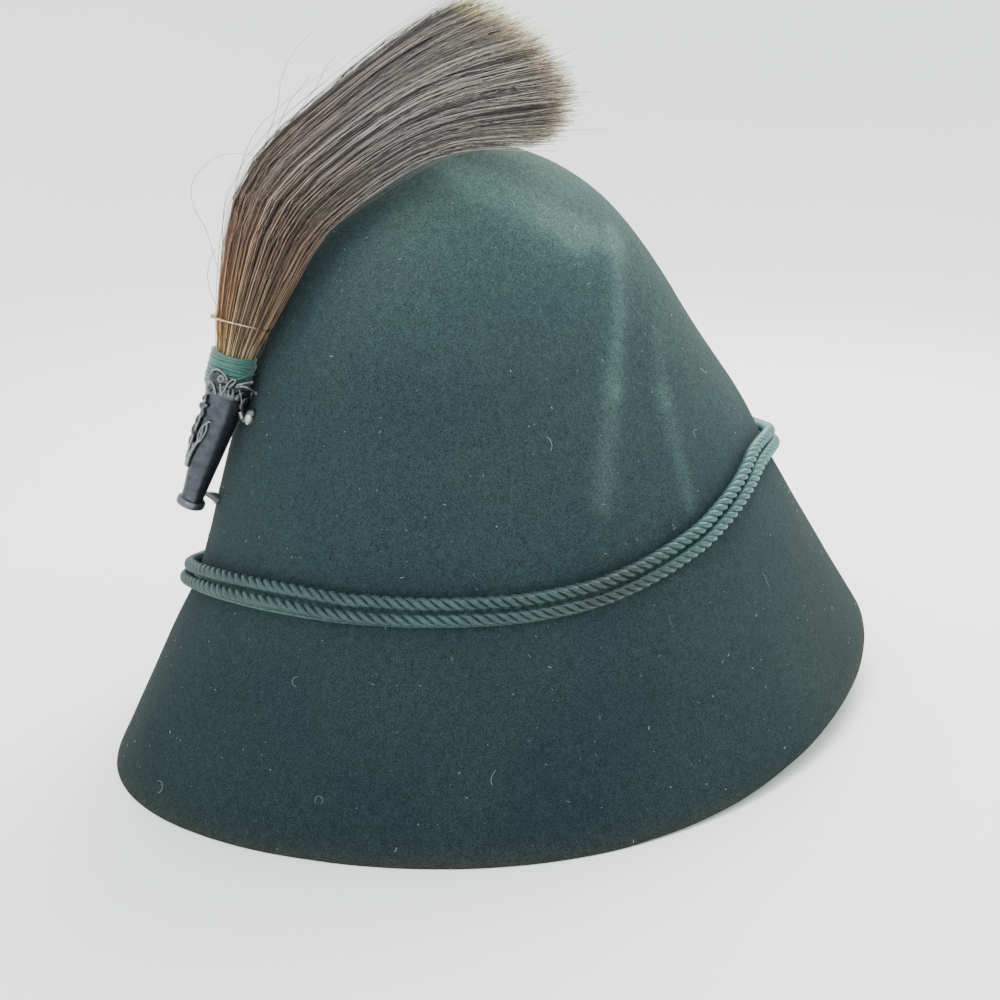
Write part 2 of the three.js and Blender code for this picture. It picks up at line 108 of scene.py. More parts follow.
def refined(node, name, levels, crease):
    """A merged copy of a frame node, made of quads, with its sharp edges held, and rounded."""
    piece = linked(name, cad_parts[node].data.copy())
    piece.data.materials.clear()
    pick(piece)
    bpy.ops.mesh.customdata_custom_splitnormals_clear()
    bpy.ops.object.mode_set(mode="EDIT")
    bpy.ops.mesh.select_all(action="SELECT")
    bpy.ops.mesh.mark_sharp(clear=True)
    bpy.ops.mesh.remove_doubles(threshold=0.01 * MM)
    bpy.ops.mesh.tris_convert_to_quads(face_threshold=math.pi, shape_threshold=math.pi)
    bpy.ops.mesh.select_all(action="DESELECT")
    bpy.ops.mesh.select_mode(type="EDGE")
    bpy.ops.mesh.edges_select_sharp(sharpness=math.radians(50))
    bpy.ops.transform.edge_crease(value=crease)
    bpy.ops.object.mode_set(mode="OBJECT")
    finer(piece, levels)
    return piece


def dressed(piece, finish, slot, *nodes):
    """Gives the piece its finish and its body, and hides the nodes that it stands for."""
    piece.data.materials.clear()
    piece.data.materials.append(finish)
    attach(piece, "root")
    if nodes:
        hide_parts(*nodes)
    return piece


def turned(name, profile, sides, unit=MM):
    """A profile of (radius, up) places turned round the Z axis."""
    mesh = bpy.data.meshes.new(name)
    edges = [(i, i + 1) for i in range(len(profile) - 1)]
    mesh.from_pydata([(radius * unit, 0, up * unit) for radius, up in profile], edges, [])
    piece = linked(name, mesh)
    spin = piece.modifiers.new("spin", "SCREW")
    spin.steps = sides
    spin.render_steps = sides
    spin.use_merge_vertices = True
    spin.merge_threshold = 0.001 * MM
    apply_modifiers(piece)
    bpy.ops.object.mode_set(mode="EDIT")
    bpy.ops.mesh.select_all(action="SELECT")
    bpy.ops.mesh.normals_make_consistent(inside=False)
    bpy.ops.object.mode_set(mode="OBJECT")
    bpy.ops.object.shade_smooth()
    return piece


def joined(name, pieces):
    """All the pieces as one."""
    pick(*pieces)
    bpy.ops.object.join()
    return named(name)


# Handling of materials.

def new_finish(name, **sockets):
    """A material whose surface has these constants. Names use _ for the spaces of the sockets."""
    finish = bpy.data.materials.new(name)
    finish.use_nodes = True
    surface = finish.node_tree.nodes["Principled BSDF"]
    for socket, value in sockets.items():
        surface.inputs[socket.replace("_", " ")].default_value = value
    return finish


def node(finish, kind, inputs=None, **settings):
    """Adds a node. An input that is another node's socket is linked, and any other one is set."""
    made = finish.node_tree.nodes.new("ShaderNode" + kind)
    for name, value in settings.items():
        setattr(made, name, value)
    for socket, value in (inputs or {}).items():
        if isinstance(value, bpy.types.NodeSocket):
            finish.node_tree.links.new(value, made.inputs[socket])
        else:
            made.inputs[socket].default_value = value
    return made


def to_surface(finish, socket, value):
    """Links a socket to the material's surface."""
    surface = finish.node_tree.nodes["Principled BSDF"]
    finish.node_tree.links.new(value, surface.inputs[socket])


def ramp(finish, factor, *stops):
    """A colour ramp through (place, colour) stops."""
    made = node(finish, "ValToRGB", {"Fac": factor})
    elements = made.color_ramp.elements
    while len(elements) < len(stops):
        elements.new(0.5)
    for element, (place, colour) in zip(elements, stops):
        element.position = place
        element.color = (*colour, 1)
    return made.outputs["Color"]


def mixed(finish, factor, first, second, blend="MIX"):
    """One colour over another."""
    made = node(finish, "Mix", data_type="RGBA", blend_type=blend)
    for index, value in ((0, factor), (6, first), (7, second)):
        if isinstance(value, bpy.types.NodeSocket):
            finish.node_tree.links.new(value, made.inputs[index])
        elif index == 0:
            made.inputs[index].default_value = value
        else:
            made.inputs[index].default_value = (*value, 1)
    return made.outputs[2]


def noise(finish, scale, detail=4, roughness=0.6, distortion=0):
    """Noise over the piece, from its Object coordinates."""
    values = {
        "Vector": node(finish, "TexCoord").outputs["Object"],
        "Scale": scale,
        "Detail": detail,
        "Roughness": roughness,
        "Distortion": distortion,
    }
    return node(finish, "TexNoise", values).outputs["Fac"]


def bumped(finish, height, strength, distance, under=None):
    """Bump from a height, over the bump under it."""
    values = {"Height": height, "Strength": strength, "Distance": distance}
    if under is not None:
        values["Normal"] = under
    return node(finish, "Bump", values).outputs["Normal"]


def felt_finish():
    """Brushed dark green felt with a short matted nap. Its attribute gives painted light and shade, and the
    brown of the cut edge.
    """
    finish = new_finish(
        "brushed_felt",
        Roughness=0.95,
        Specular_IOR_Level=0.02,
        Sheen_Weight=0.03,
        Sheen_Roughness=0.5,
        Sheen_Tint=(0.8, 0.8, 0.68, 1),
    )
    clouds = noise(finish, 16, detail=2)
    matted = noise(finish, 480, detail=5, roughness=0.72, distortion=0.5)
    nap = noise(finish, 2400, detail=4, roughness=0.75)
    painted_light_and_edge = node(finish, "Attribute", attribute_name="painted_light_and_edge").outputs["Vector"]
    parts = node(finish, "SeparateXYZ", {"Vector": painted_light_and_edge})
    base = ramp(finish, clouds, (0.35, (0.0155, 0.0255, 0.0295)), (0.65, (0.0185, 0.0295, 0.031)))
    # Painted light and shade from the attribute's first part, multiplied over the felt's colour.
    wear_and_painted_light = ramp(
        finish,
        parts.outputs["X"],
        (0.0, (0.3, 0.3, 0.3)),
        (0.5, (1, 1, 1)),
        (1.0, (3.2, 3.2, 2.7)),
    )
    colour = mixed(finish, 1.0, base, wear_and_painted_light, "MULTIPLY")
    colour = mixed(finish, parts.outputs["Y"], colour, (0.035, 0.032, 0.026))
    light = ramp(finish, matted, (0.36, (0.84, 0.84, 0.84)), (0.7, (1.22, 1.22, 1.22)))
    fibre = ramp(finish, nap, (0.36, (0.5, 0.5, 0.5)), (0.66, (2.0, 2.0, 1.95)))
    colour = mixed(finish, 1.0, colour, light, "MULTIPLY")
    colour = mixed(finish, 1.0, colour, fibre, "MULTIPLY")
    to_surface(finish, "Base Color", colour)
    soft = bumped(finish, matted, 0.25, 0.4 * MM)
    to_surface(finish, "Normal", bumped(finish, nap, 0.5, 0.22 * MM, soft))
    return finish


def cord_finish():
    """Twisted green yarn with a soft sheen, with painted shade around the middle of the hat and painted light
    towards its front.
    """
    finish = new_finish(
        "twisted_cord",
        Roughness=0.36,
        Specular_IOR_Level=0.42,
        Sheen_Weight=0.12,
        Sheen_Roughness=0.4,
        Sheen_Tint=(0.75, 0.95, 0.88, 1),
    )
    patches = noise(finish, 60, detail=2)
    fibre = noise(finish, 3000, detail=2)
    base = ramp(finish, patches, (0.3, (0.009, 0.028, 0.029)), (0.7, (0.016, 0.047, 0.045)))
    light = ramp(finish, fibre, (0.35, (0.65, 0.65, 0.65)), (0.65, (1.4, 1.4, 1.4)))
    base = mixed(finish, 1.0, base, light, "MULTIPLY")
    # Painted light and shade along the hat: a little darker around the middle, much lighter towards the
    # front.
    place = node(finish, "TexCoord").outputs["Object"]
    ahead = node(finish, "SeparateXYZ", {"Vector": place}).outputs["X"]
    limits = {"Value": ahead, "From Min": -0.06, "From Max": 0.09}
    share = node(finish, "MapRange", limits).outputs["Result"]
    cord_painted_light = ramp(finish, share, (0.0, (0.9, 0.9, 0.9)), (0.35, (0.5, 0.5, 0.5)), (1.0, (3.4, 3.5, 3.4)))
    to_surface(finish, "Base Color", mixed(finish, 1.0, base, cord_painted_light, "MULTIPLY"))
    to_surface(finish, "Normal", bumped(finish, fibre, 0.4, 0.12 * MM))
    return finish


def braid_finish():
    """The flat braid under the cords, paler than they are."""
    finish = new_finish("flat_braid", Roughness=0.8, Specular_IOR_Level=0.2, Sheen_Weight=0.3)
    weave = noise(finish, 900, detail=2)
    base = ramp(finish, weave, (0.35, (0.018, 0.05, 0.044)), (0.65, (0.05, 0.11, 0.09)))
    to_surface(finish, "Base Color", base)
    to_surface(finish, "Normal", bumped(finish, weave, 0.6, 0.2 * MM))
    return finish


def hair_finish():
    """Hair, golden at the foot, grey brown above and pale at the tips. Each strand has its own shade, with
    painted shade on the strands between the locks.
    """
    finish = new_finish("plume_hair", Roughness=0.42, Specular_IOR_Level=0.35)
    strand = node(finish, "Attribute", attribute_name="strand").outputs["Vector"]
    parts = node(finish, "SeparateXYZ", {"Vector": strand})
    along = parts.outputs["X"]
    side = parts.outputs["Y"]
    shade = parts.outputs["Z"]
    middle = ramp(
        finish,
        along,
        (0.0, (0.62, 0.5, 0.32)),
        (0.28, (0.31, 0.2, 0.12)),
        (0.5, (0.22, 0.15, 0.115)),
        (0.72, (0.3, 0.26, 0.25)),
        (0.96, (0.34, 0.3, 0.28)),
        (0.982, (0.26, 0.22, 0.2)),
        (1.0, (0.6, 0.48, 0.28)),
    )
    edge = ramp(
        finish,
        along,
        (0.0, (0.55, 0.4, 0.16)),
        (0.2, (0.52, 0.31, 0.09)),
        (0.4, (0.4, 0.17, 0.075)),
        (0.56, (0.2, 0.14, 0.115)),
        (0.96, (0.28, 0.24, 0.23)),
        (0.98, (0.3, 0.25, 0.18)),
        (1.0, (0.95, 0.88, 0.5)),
    )
    outer = ramp(finish, side, (0.08, (1, 1, 1)), (0.4, (0, 0, 0)))
    colour = mixed(finish, outer, middle, edge)
    own = ramp(
        finish,
        shade,
        (0.0, (0.03, 0.03, 0.035)),
        (0.35, (0.25, 0.245, 0.24)),
        (0.62, (0.8, 0.78, 0.76)),
        (1.0, (2.7, 2.6, 2.5)),
    )
    to_surface(finish, "Base Color", mixed(finish, 1.0, colour, own, "MULTIPLY"))
    return finish


def thread_finish():
    """Bright green wound thread."""
    finish = new_finish("wound_thread", Roughness=0.42, Specular_IOR_Level=0.5, Sheen_Weight=0.3)
    fibre = noise(finish, 2500, detail=2)
    base = ramp(finish, fibre, (0.35, (0.004, 0.048, 0.038)), (0.65, (0.022, 0.13, 0.098)))
    to_surface(finish, "Base Color", base)
    to_surface(finish, "Normal", bumped(finish, fibre, 0.3, 0.1 * MM))
    return finish


def wire_finish():
    """Plain copper wire, a little dull."""
    finish = new_finish("copper_wire", Metallic=1.0, Roughness=0.32)
    dull = noise(finish, 700, detail=3)
    base = ramp(finish, dull, (0.3, (0.36, 0.23, 0.17)), (0.7, (0.58, 0.41, 0.33)))
    to_surface(finish, "Base Color", base)
    return finish


def pewter_finish(name, dark, pale, edge):
    """Darkened cast pewter, worn lighter on what stands out."""
    finish = new_finish(name, Metallic=0.8, Roughness=0.3)
    wear_and_painted_light = node(finish, "NewGeometry").outputs["Pointiness"]
    grain = noise(finish, 900, detail=4)
    patches = noise(finish, 420, detail=4)
    base = ramp(finish, patches, (0.3, dark), (0.7, pale))
    raised = ramp(finish, wear_and_painted_light, (0.52, (0, 0, 0)), (0.6, (1, 1, 1)))
    to_surface(finish, "Base Color", mixed(finish, raised, base, edge))
    to_surface(finish, "Normal", bumped(finish, grain, 0.4, 0.15 * MM))
    return finish


def lint_finish():
    """Pale lint on the felt."""
    finish = new_finish("pale_lint", Roughness=0.8, Sheen_Weight=0.4)
    tone = noise(finish, 60, detail=1)
    base = ramp(finish, tone, (0.35, (0.05, 0.075, 0.068)), (0.65, (0.22, 0.25, 0.23)))
    to_surface(finish, "Base Color", base)
    return finish


# The camera, the floor and the lights.

def add_camera():
    """Behind and to the right of the hat, about 18 degrees above it."""
    turn = (math.radians(72), 0, math.radians(-28))
    bpy.ops.object.camera_add(location=(-0.2573, -0.4710, 0.2552), rotation=turn)
    camera = named("camera")
    camera.data.lens = 54
    camera.data.sensor_width = 36
    camera.data.clip_start = 0.01
    bpy.context.scene.camera = camera


# The studio sweep, in metres.
FLOOR_RADIUS = 0.9
SWEEP_BEND = 0.6
WALL_TOP = 0.9


def add_sweep():
    """A white studio sweep: a level floor whose rim bends up into a wall all round."""
    profile = [(0, 0), (FLOOR_RADIUS / 2, 0), (FLOOR_RADIUS, 0)]
    for step in range(1, 13):
        angle = math.radians(7.5 * step)
        out = FLOOR_RADIUS + SWEEP_BEND * math.sin(angle)
        profile.append((out, SWEEP_BEND - SWEEP_BEND * math.cos(angle)))
    profile.append((FLOOR_RADIUS + SWEEP_BEND, WALL_TOP))
    sweep = turned("sweep", profile, sides=96, unit=1)
    finish = new_finish("white_sweep", Roughness=0.9, Specular_IOR_Level=0.1)
    tone = noise(finish, 2, detail=2)
    base = ramp(finish, tone, (0.3, (0.84, 0.86, 0.82)), (0.7, (0.87, 0.89, 0.85)))
    to_surface(finish, "Base Color", base)
    sweep.data.materials.append(finish)


def add_light(name, place, size, power, colour=(1, 1, 1)):
    """A soft square light that looks at the middle of the hat."""
    bpy.ops.object.light_add(type="AREA", location=place)
    light = named(name)
    light.data.size = size
    light.data.energy = power
    light.data.color = colour
    towards = Vector((0, 0, 0.1)) - Vector(place)
    light.rotation_euler = towards.to_track_quat("-Z", "Y").to_euler()


def add_lights():
    """A pale room, a soft light over the hat's far right side, and a weak bluish one from the left."""
    world = bpy.context.scene.world or bpy.data.worlds.new("room")
    bpy.context.scene.world = world
    world.use_nodes = True
    background = world.node_tree.nodes["Background"]
    background.inputs["Color"].default_value = (0.93, 0.97, 0.97, 1)
    background.inputs["Strength"].default_value = 2.3
    add_light("soft light", (0.35, 0.25, 0.8), 0.6, 15, (1, 1, 0.96))
    add_light("weak light", (-0.9, -0.9, 0.7), 0.8, 8, (0.6, 0.8, 1))


# The felt.

# Painted light and shade on the felt, by the height and by the way ahead of the head's axis, both in mm:
# painted lighter towards the top and the front, painted shade low down.
PAINTED_LIGHT_HEIGHTS = [0, 45, 85, 140, 175, 200, 215]
PAINTED_LIGHT_BY_HEIGHT = [0.25, 0.33, 0.45, 0.52, 0.61, 0.77, 0.86]
PAINTED_LIGHT_AHEAD = [-90, -20, 40, 80, 110]
PAINTED_LIGHT_BY_AHEAD = [-0.03, -0.02, 0.03, 0.07, 0.02]
# Painted shadow of the hair on the felt beside it: how dark, and how many mm it reaches.
HAIR_SHADOW = 0.3
HAIR_SHADOW_REACH = 9
# The height of the cut edge by the way ahead, in mm, and how strong its brown is.
EDGE_AHEAD = [-140, 0, 80, 170]
EDGE_HEIGHTS = [0, 0, 3, 23]
EDGE_BROWN = 0.6
# Painted highlights along the creases on both sides of the crown, in mm from the head's axis: ahead and up of
# both ends, the half width and the strength.
RIDGE_HIGHLIGHTS = [
    (2, 104, 14, 138, 4.0, 0.13),
    (14, 138, 31, 182, 3.6, 0.2),
    (38, 98, 36, 132, 3.6, 0.13),
    (36, 132, 40, 150, 3.0, 0.09),
    (-20, 205, 12, 186, 6.0, 0.3),
    (12, 186, 31, 182, 5.0, 0.24),
]


def felt_painted_light_and_edge(felt):
    """Painted light on the felt: paler towards the top, on faces that look up, towards the front and in
    painted highlights along the creases; painted shade low down and a painted shadow beside the hair; and
    brown at the cut edge.
    """
    count = len(felt.data.vertices)
    places = np.empty(count * 3)
    felt.data.vertices.foreach_get("co", places)
    normals = np.empty(count * 3)
    felt.data.vertices.foreach_get("normal", normals)
    places = places.reshape(-1, 3) / MM
    upward = normals.reshape(-1, 3)[:, 2]
    ahead = places[:, 0] - HEAD_AXIS.x / MM
    height = places[:, 2]
    # Painted light: paler towards the top and on faces that look up, painted shade low down.
    pale = np.interp(height, PAINTED_LIGHT_HEIGHTS, PAINTED_LIGHT_BY_HEIGHT)
    pale += 0.05 * np.clip(upward, 0, 1)
    # Painted light towards the front, painted shade towards the back.
    pale += np.interp(ahead, PAINTED_LIGHT_AHEAD, PAINTED_LIGHT_BY_AHEAD)
    # Painted highlights along the crown's creases.
    for x0, z0, x1, z1, wide, strength in RIDGE_HIGHLIGHTS:
        step = np.array([x1 - x0, z1 - z0])
        share = ((ahead - x0) * step[0] + (height - z0) * step[1]) / (step @ step)
        share = np.clip(share, 0, 1)
        away = np.hypot(ahead - x0 - share * step[0], height - z0 - share * step[1])
        pale += strength * np.exp(-(away / wide) ** 2) * np.where(height > 90, 1, 0)
    # Painted shadow of the hair on the felt beside it.
    rows = hair_sections(np.linspace(0, 1, 40))
    centres = in_plume(np.stack([rows[:, 0], rows[:, 2], rows[:, 1]], axis=1)) / MM
    gap = np.full(count, np.inf)
    for centre, half in zip(centres, rows[:, 3] / MM):
        gap = np.minimum(gap, np.linalg.norm(places - centre, axis=1) - half)
    pale -= HAIR_SHADOW * np.exp(-(np.clip(gap, 0, None) / HAIR_SHADOW_REACH) ** 2)
    reach = np.hypot(ahead / 1.3, places[:, 1])
    low = np.interp(ahead, EDGE_AHEAD, EDGE_HEIGHTS)
    brown = np.exp(-np.clip(height - low, 0, None) / 2.2) * np.clip((reach - 95) / 10, 0, 1)
    facts = np.stack([np.clip(pale, 0, 1), EDGE_BROWN * brown, 0 * pale], axis=1)
    painted_light_and_edge = felt.data.attributes.new("painted_light_and_edge", "FLOAT_VECTOR", "POINT")
    painted_light_and_edge.data.foreach_set("vector", facts.ravel())


def make_felt():
    """The bell of felt, finer than the frame's, with the small lumps of a shaped felt."""
    felt = refined("felt_body", "felt", levels=2, crease=0.8)
    lumps = bpy.data.textures.new("lumps", "CLOUDS")
    lumps.noise_scale = 0.035
    uneven = felt.modifiers.new("uneven", "DISPLACE")
    uneven.texture = lumps
    uneven.texture_coords = "LOCAL"
    uneven.strength = 0.6 * MM
    apply_modifiers(felt)
    felt_painted_light_and_edge(felt)
    return dressed(felt, felt_finish(), "felt", "felt_body")


# The cords.

CORD_RADIUS = 2.2 * MM
CORD_LAY = 11 * MM
LAY_STEPS = 22
PLIES = 3
PLY_RADIUS = 1.04 * MM
PLY_SIDES = 16
PLY_STRETCH = 1.12
YARN_RELIEF = 0.1 * MM
# Corners in each ring of the frame's own cord.
RING_CORNERS = 8


def route_of(cord_node):
    """The middle line of a tube round the head, from the rings of the frame's solid."""
    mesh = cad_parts[cord_node].data
    corners = np.array([vertex.co for vertex in mesh.vertices])
    corners = np.unique(corners.round(7), axis=0)
    azimuth = np.arctan2(corners[:, 1], corners[:, 0] - HEAD_AXIS.x)
    rings = corners[np.argsort(azimuth)].reshape(-1, RING_CORNERS, 3)
    return rings.mean(axis=1)


def route_curve(name, route):
    """A smooth closed curve through the route."""
    bpy.ops.curve.primitive_bezier_circle_add()
    curve = named(name)
    points = curve.data.splines[0].bezier_points
    points.add(len(route) - len(points))
    for point, place in zip(points, route):
        point.co = place
        point.handle_left_type = "AUTO"
        point.handle_right_type = "AUTO"
    curve.data.twist_mode = "Z_UP"
    curve.data.resolution_u = 8
    return curve


def twisted_cord(name, cord_node):
    """Plies of yarn laid round each other. One lay of them is repeated along the route."""
    curve = route_curve(name + "_route", route_of(cord_node))
    length = curve.data.splines[0].calc_length()
    lays = round(length / CORD_LAY)
    plies = []
    for turn in range(PLIES):
        angle = 2 * math.pi * turn / PLIES
        reach = CORD_RADIUS - PLY_RADIUS
        place = (0, reach * math.cos(angle), reach * math.sin(angle))
        bpy.ops.mesh.primitive_circle_add(vertices=PLY_SIDES, radius=1, rotation=(0, math.pi / 2, 0))
        ply = named("ply")
        bpy.ops.object.transform_apply(rotation=True)
        for index, vertex in enumerate(ply.data.vertices):
            relief = PLY_RADIUS + YARN_RELIEF * (-1) ** index
            vertex.co = Vector((0, vertex.co.y, PLY_STRETCH * vertex.co.z)) * relief
        ply.rotation_euler = (angle, 0, 0)
        ply.location = place
        plies.append(ply)
    pick(*plies)
    bpy.ops.object.transform_apply(location=True, rotation=True)
    bpy.ops.object.join()
    cord = named(name)
    twist = cord.modifiers.new("twist", "SCREW")
    twist.axis = "X"
    twist.screw_offset = length / lays
    twist.steps = LAY_STEPS
    twist.render_steps = LAY_STEPS
    twist.use_smooth_shade = True
    repeat = cord.modifiers.new("repeat", "ARRAY")
    repeat.count = lays
    repeat.use_relative_offset = False
    repeat.use_constant_offset = True
    repeat.constant_offset_displace = (length / lays, 0, 0)
    repeat.use_merge_vertices = True
    repeat.merge_threshold = 0.02 * MM
    bend = cord.modifiers.new("bend", "CURVE")
    bend.object = curve
    bend.deform_axis = "POS_X"
    apply_modifiers(cord)
    bpy.ops.object.mode_set(mode="EDIT")
    bpy.ops.mesh.select_all(action="SELECT")
    bpy.ops.mesh.remove_doubles(threshold=0.05 * MM)
    bpy.ops.mesh.normals_make_consistent(inside=False)
    bpy.ops.object.mode_set(mode="OBJECT")
    bpy.ops.object.shade_smooth()
    bpy.data.objects.remove(curve)
    return cord


def make_cords():
    """Both twisted cords, and the flat braid that they are sewn on."""
    finish = cord_finish()
    for side in ("upper", "lower"):
        cord = twisted_cord(f"twisted_cord_{side}", f"cord_{side}")
        dressed(cord, finish, "cord", f"cord_{side}")
    braid = refined("cord_backing", "flat_braid", levels=2, crease=0.7)
    dressed(braid, braid_finish(), "braid", "cord_backing")


# The hair.

# Sections of the hair in the plume's plane, as shares of its length: the middle ahead and up, the drift to
# the left, the half width in the plane and the half width across it.
HAIR = np.array([
    [-0.024, -0.075, 0.0, 0.025, 0.026],
    [0.004, 0.0, 0.0, 0.03, 0.031],
    [0.03, 0.083, 0.0, 0.037, 0.038],
    [0.048, 0.138, -0.012, 0.049, 0.043],
    [0.088, 0.252, -0.024, 0.069, 0.055],
    [0.14, 0.38, -0.02, 0.091, 0.066],
    [0.21, 0.465, -0.008, 0.101, 0.07],
    [0.32, 0.55, 0.008, 0.105, 0.074],
    [0.435, 0.622, 0.024, 0.118, 0.078],
    [0.555, 0.67, 0.036, 0.143, 0.084],
    [0.69, 0.7, 0.046, 0.17, 0.09],
]) * PLUME_LENGTH
LAST_SECTION = len(HAIR) - 1
# How far the hair reaches, by its place from the back of the bundle to the front of it.
REACH_SIDE = [-1.0, -0.6, -0.2, 0.2, 0.5, 0.8, 1.0]
REACH = [0.925, 0.97, 1.01, 1.035, 1.04, 1.02, 0.985]
# Places on each strand, and the locks that the strands gather in.
HAIR_STEPS = 15
LOCKS = 260


def smooth_rows(rows, slope, low, part):
    """Rows between each low one and the next, on a smooth line."""
    return (
        rows[low] * (1 + 2 * part) * (1 - part) ** 2
        + slope[low] * part * (1 - part) ** 2
        + rows[low + 1] * part ** 2 * (3 - 2 * part)
        + slope[low + 1] * part ** 2 * (part - 1)
    )


def hair_sections(step):
    """The sections at steps from 0 at the foot to 1 at the last section, and straight on past it."""
    place = np.clip(step, 0, 1) * LAST_SECTION
    low = np.minimum(place.astype(int), LAST_SECTION - 1)
    slope = np.gradient(HAIR, axis=0)
    rows = smooth_rows(HAIR, slope, low, (place - low)[..., None])
    past = (np.maximum(step - 1, 0) * LAST_SECTION)[..., None]
    return rows + past * slope[-1]


def thin_tubes(name, paths, radii, attribute=None, sides=3):
    """One mesh of thin closed tubes: paths are strand by step by place, radii strand by step."""
    strands, steps = radii.shape
    ahead = np.gradient(paths, axis=1)
    ahead /= np.linalg.norm(ahead, axis=2, keepdims=True)
    lean = np.cross(ahead, np.array([0.31, 0.52, -0.79]))
    lean /= np.linalg.norm(lean, axis=2, keepdims=True)
    over = np.cross(ahead, lean)
    corners = []
    for k in range(sides):
        turn = 2 * math.pi * k / sides
        corners.append(paths + radii[..., None] * (math.cos(turn) * lean + math.sin(turn) * over))
    places = np.stack(corners, axis=2).reshape(-1, 3)
    first = (np.arange(strands) * steps * sides)[:, None, None]
    ring = (np.arange(steps - 1) * sides)[None, :, None]
    k = np.arange(sides)[None, None, :]
    low = first + ring + k
    low_next = first + ring + (k + 1) % sides
    walls = np.stack([low, low_next, low_next + sides, low + sides], axis=-1).reshape(-1, 4)
    foot = first[:, 0] + np.arange(sides)[::-1]
    tip = first[:, 0] + (steps - 1) * sides + np.arange(sides)
    mesh = bpy.data.meshes.new(name)
    mesh.from_pydata(places.tolist(), [], walls.tolist() + foot.tolist() + tip.tolist())
    if attribute is not None:
        spread = np.repeat(attribute.reshape(-1, 3), sides, axis=0)
        strand = mesh.attributes.new("strand", "FLOAT_VECTOR", "POINT")
        strand.data.foreach_set("vector", spread.ravel())
    piece = linked(name, mesh)
    pick(piece)
    bpy.ops.object.shade_smooth()
    return piece


def in_plume(places):
    """Places in the plume's frame brought to the hat's."""
    turn = np.array(PLUME.to_3x3())
    return places @ turn.T + np.array(PLUME.translation)


def hair_strands(name, count, seed, depth):
    """Strands that run up the bundle, gather in locks and part again at the tips."""
    pull = np.random.default_rng(seed)
    angle = pull.uniform(0, 2 * math.pi, count)
    spread = pull.uniform(0, 1, count) ** 0.5
    spread = depth[0] + (depth[1] - depth[0]) * spread
    side = spread * np.cos(angle)
    through = spread * np.sin(angle)
    lock_pull = np.random.default_rng(5)
    locks = lock_pull.uniform(-1, 1, (LOCKS, 2))
    locks = locks[np.hypot(locks[:, 0], locks[:, 1]) < 1.02]
    lock_shade = lock_pull.normal(0, 0.03, len(locks))
    away = np.hypot(side[:, None] - locks[:, 0], through[:, None] - locks[:, 1])
    nearest = np.argmin(away, axis=1)
    away.sort(axis=1)
    between_locks = 1 - np.clip((away[:, 1] - away[:, 0]) / 0.06, 0, 1)
    reach = np.interp(side, REACH_SIDE, REACH)
    reach *= 1 + pull.normal(0, 0.012, count) - pull.random(count) ** 12 * 0.2
    along = np.linspace(0, 1, HAIR_STEPS)[None, :] ** 0.9
    step = along * reach[:, None]
    rows = hair_sections(step)
    gather = 0.45 * np.clip((step - 0.15) / 0.5, 0, 1) - 0.25 * np.clip((step - 0.75) / 0.25, 0, 1)
    sway = np.sin(step[:, None, :] * pull.uniform(2, 7, (count, 1, 1)))
    wander = pull.normal(0, 0.095, (count, 2, 1)) * sway
    side_now = side[:, None] + gather * (locks[nearest, 0] - side)[:, None] + wander[:, 0]
    through_now = through[:, None] + gather * (locks[nearest, 1] - through)[:, None] + wander[:, 1]
    ahead = np.gradient(rows[..., :2], axis=1)
    ahead /= np.linalg.norm(ahead, axis=2, keepdims=True)
    places = np.stack([
        rows[..., 0] + ahead[..., 1] * side_now * rows[..., 3],
        rows[..., 2] + through_now * rows[..., 4],
        rows[..., 1] - ahead[..., 0] * side_now * rows[..., 3],
    ], axis=2)
    thick = pull.uniform(0.07, 0.13, count)[:, None] * MM * (1 - 0.6 * along ** 3)
    # Strands between the locks are darker: painted shade in the gaps.
    shade = 0.53 + lock_shade[nearest] - 0.2 * between_locks + pull.normal(0, 0.3, count)
    pale = pull.random(count) < 0.05
    shade = np.clip(np.where(pale, 0.95, shade), 0, 1)
    edge = (side + 1) / 2
    facts = [along + 0 * step, edge[:, None] + 0 * step, shade[:, None] + 0 * step]
    facts = np.stack(facts, axis=2)
    return thin_tubes(name, in_plume(places), thick, facts)


# Stray hairs: places in the plume's plane, as shares of PLUME_LENGTH ahead and up.
STRAYS = [
    [(0.013, 0.147), (-0.015, 0.2), (-0.024, 0.25), (-0.012, 0.295), (0.008, 0.312), (0.033, 0.313)],
    [(0.03, 0.16), (-0.005, 0.29), (-0.02, 0.35), (-0.045, 0.4), (-0.045, 0.45), (-0.007, 0.495),
     (0.04, 0.513), (0.107, 0.507)],
    [(0.02, 0.25), (0.04, 0.37), (0.053, 0.46), (0.093, 0.553), (0.147, 0.607), (0.207, 0.653),
     (0.293, 0.713)],
    [(0.08, 0.42), (0.113, 0.52), (0.147, 0.607), (0.16, 0.667), (0.187, 0.72), (0.233, 0.767)],
    [(0.09, 0.45), (0.133, 0.54), (0.173, 0.62), (0.213, 0.667), (0.208, 0.675)],
    [(0.12, 0.48), (0.167, 0.567), (0.227, 0.647), (0.253, 0.693), (0.28, 0.72)],
    [(0.0, 0.2), (0.012, 0.3), (0.018, 0.37), (0.03, 0.43), (0.06, 0.48)],
    [(0.5, 0.52), (0.62, 0.548), (0.72, 0.56), (0.847, 0.567)],
    [(0.5, 0.57), (0.62, 0.607), (0.733, 0.633), (0.82, 0.64)],
    [(0.5, 0.53), (0.62, 0.56), (0.72, 0.587), (0.787, 0.613)],
    [(0.5, 0.55), (0.62, 0.607), (0.707, 0.647), (0.767, 0.687)],
    [(0.5, 0.6), (0.62, 0.66), (0.72, 0.7), (0.78, 0.73)],
    [(0.113, 0.15), (0.1, 0.11), (0.088, 0.08), (0.073, 0.053), (0.067, 0.013)],
]
STRAY_STEPS = 28


